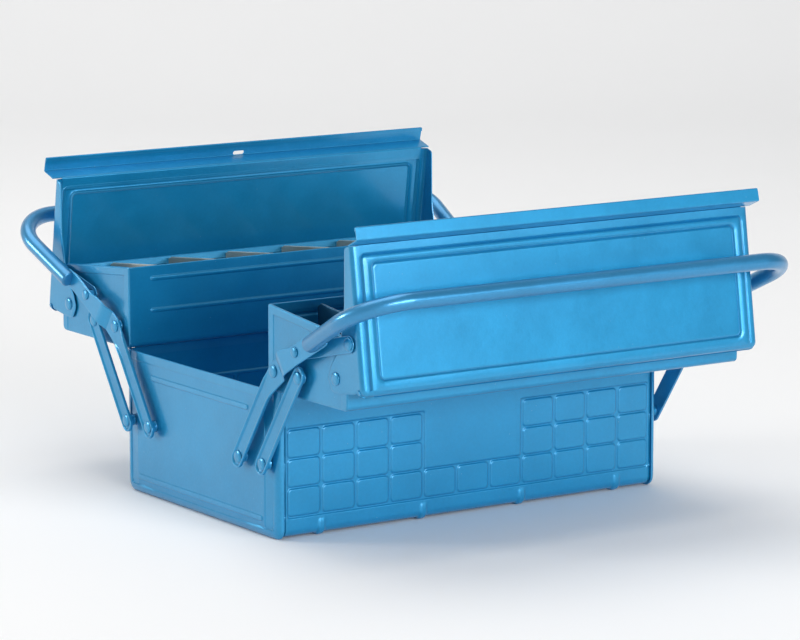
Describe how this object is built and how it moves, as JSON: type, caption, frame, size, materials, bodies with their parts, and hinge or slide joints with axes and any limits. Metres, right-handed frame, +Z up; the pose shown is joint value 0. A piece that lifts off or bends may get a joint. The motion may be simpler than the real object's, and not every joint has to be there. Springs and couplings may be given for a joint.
{
  "type": "cantilever tool box",
  "caption": "Blue enamelled sheet-steel cantilever tool box, open: a deep lower box with two divided trays, hinged lids and tube handles that swing together over the box to shut it.",
  "frame": {"origin": "middle of the box's footprint on the ground, under the floor ribs", "axes": "+X along the box's length, to the right seen from the front; +Y to the rear, towards the half whose lid strip has the slot; +Z up"},
  "size_m": [0.4008, 0.5278, 0.2495],
  "materials": {
    "enamel": "semi-gloss blue stoved enamel on pressed steel sheet",
    "divider_steel": "thin plated steel with an olive-brown passivated tint",
    "enamel_tube": "semi-gloss blue enamel on bent steel tube",
    "rivet": "painted over with the box"
  },
  "bodies": {
    "box": {"box_wrapper": "enamel", "box_end_left": "enamel", "box_end_right": "enamel", "box_pivot_spacers": "rivet", "box_pivot_rivets": "rivet"},
    "front_handle": {"front_handle_arm_left": "enamel", "front_handle_arm_right": "enamel", "front_handle_tube": "enamel_tube", "front_handle_rivets": "rivet"},
    "front_supports": {"front_support_arm_left": "enamel", "front_support_arm_right": "enamel"},
    "front_tray": {"front_tray_shell": "enamel", "front_tray_end_left": "enamel", "front_tray_end_right": "enamel", "front_tray_divider_1": "divider_steel", "front_tray_divider_2": "divider_steel", "front_tray_divider_3": "divider_steel", "front_tray_divider_4": "divider_steel", "front_tray_divider_5": "divider_steel", "front_tray_divider_6": "divider_steel", "front_tray_spacers": "rivet", "front_tray_rivets": "rivet"},
    "front_lid": {"front_lid_panel": "enamel", "front_lid_edge_strip": "enamel", "front_lid_rivets": "rivet"},
    "front_links": {"front_lid_link_left": "enamel", "front_lid_link_right": "enamel"},
    "rear_handle": {"rear_handle_arm_left": "enamel", "rear_handle_arm_right": "enamel", "rear_handle_tube": "enamel_tube", "rear_handle_rivets": "rivet"},
    "rear_supports": {"rear_support_arm_left": "enamel", "rear_support_arm_right": "enamel"},
    "rear_tray": {"rear_tray_shell": "enamel", "rear_tray_end_left": "enamel", "rear_tray_end_right": "enamel", "rear_tray_divider_1": "divider_steel", "rear_tray_divider_2": "divider_steel", "rear_tray_divider_3": "divider_steel", "rear_tray_divider_4": "divider_steel", "rear_tray_divider_5": "divider_steel", "rear_tray_divider_6": "divider_steel", "rear_tray_spacers": "rivet", "rear_tray_rivets": "rivet"},
    "rear_lid": {"rear_lid_panel": "enamel", "rear_lid_edge_strip": "enamel", "rear_lid_rivets": "rivet"},
    "rear_links": {"rear_lid_link_left": "enamel", "rear_lid_link_right": "enamel"}
  },
  "joints": [
    {"name": "front_handle_swing", "type": "hinge", "parent": "box", "child": "front_handle", "pos_m": [0, -0.0662, 0.0573], "axis": [-1, 0, 0], "range_deg": [0, 68]},
    {"name": "front_support_swing", "type": "hinge", "parent": "box", "child": "front_supports", "pos_m": [0, -0.0991, 0.0573], "axis": [-1, 0, 0], "range_deg": [0, 68.05]},
    {"name": "front_tray_level", "type": "hinge", "parent": "front_handle", "child": "front_tray", "pos_m": [0, -0.1156, 0.1291], "axis": [-1, 0, 0], "range_deg": [-68.05, 0]},
    {"name": "front_lid_turn", "type": "hinge", "parent": "front_tray", "child": "front_lid", "pos_m": [0, -0.194, 0.1355], "axis": [-1, 0, 0], "range_deg": [0, 75.45]},
    {"name": "front_link_turn", "type": "hinge", "parent": "front_lid", "child": "front_links", "pos_m": [0, -0.2128, 0.1631], "axis": [-1, 0, 0], "range_deg": [-96.95, 0]},
    {"name": "rear_handle_swing", "type": "hinge", "parent": "box", "child": "rear_handle", "pos_m": [0, 0.0662, 0.0573], "axis": [1, 0, 0], "range_deg": [0, 68]},
    {"name": "rear_support_swing", "type": "hinge", "parent": "box", "child": "rear_supports", "pos_m": [0, 0.0991, 0.0573], "axis": [1, 0, 0], "range_deg": [0, 68.05]},
    {"name": "rear_tray_level", "type": "hinge", "parent": "rear_handle", "child": "rear_tray", "pos_m": [0, 0.1156, 0.1291], "axis": [1, 0, 0], "range_deg": [-68.05, 0]},
    {"name": "rear_lid_turn", "type": "hinge", "parent": "rear_tray", "child": "rear_lid", "pos_m": [0, 0.194, 0.1355], "axis": [1, 0, 0], "range_deg": [0, 75.45]},
    {"name": "rear_link_turn", "type": "hinge", "parent": "rear_lid", "child": "rear_links", "pos_m": [0, 0.2128, 0.1631], "axis": [1, 0, 0], "range_deg": [-96.95, 0]}
  ],
  "couplings": [
    {"joint": "front_support_swing", "follows": "front_handle_swing", "ratio": 1},
    {"joint": "front_tray_level", "follows": "front_handle_swing", "ratio": -1},
    {"joint": "front_lid_turn", "follows": "front_handle_swing", "ratio": 1.1088},
    {"joint": "front_link_turn", "follows": "front_handle_swing", "ratio": -1.425},
    {"joint": "rear_support_swing", "follows": "rear_handle_swing", "ratio": 1},
    {"joint": "rear_tray_level", "follows": "rear_handle_swing", "ratio": -1},
    {"joint": "rear_lid_turn", "follows": "rear_handle_swing", "ratio": 1.1088},
    {"joint": "rear_link_turn", "follows": "rear_handle_swing", "ratio": -1.425}
  ]
}
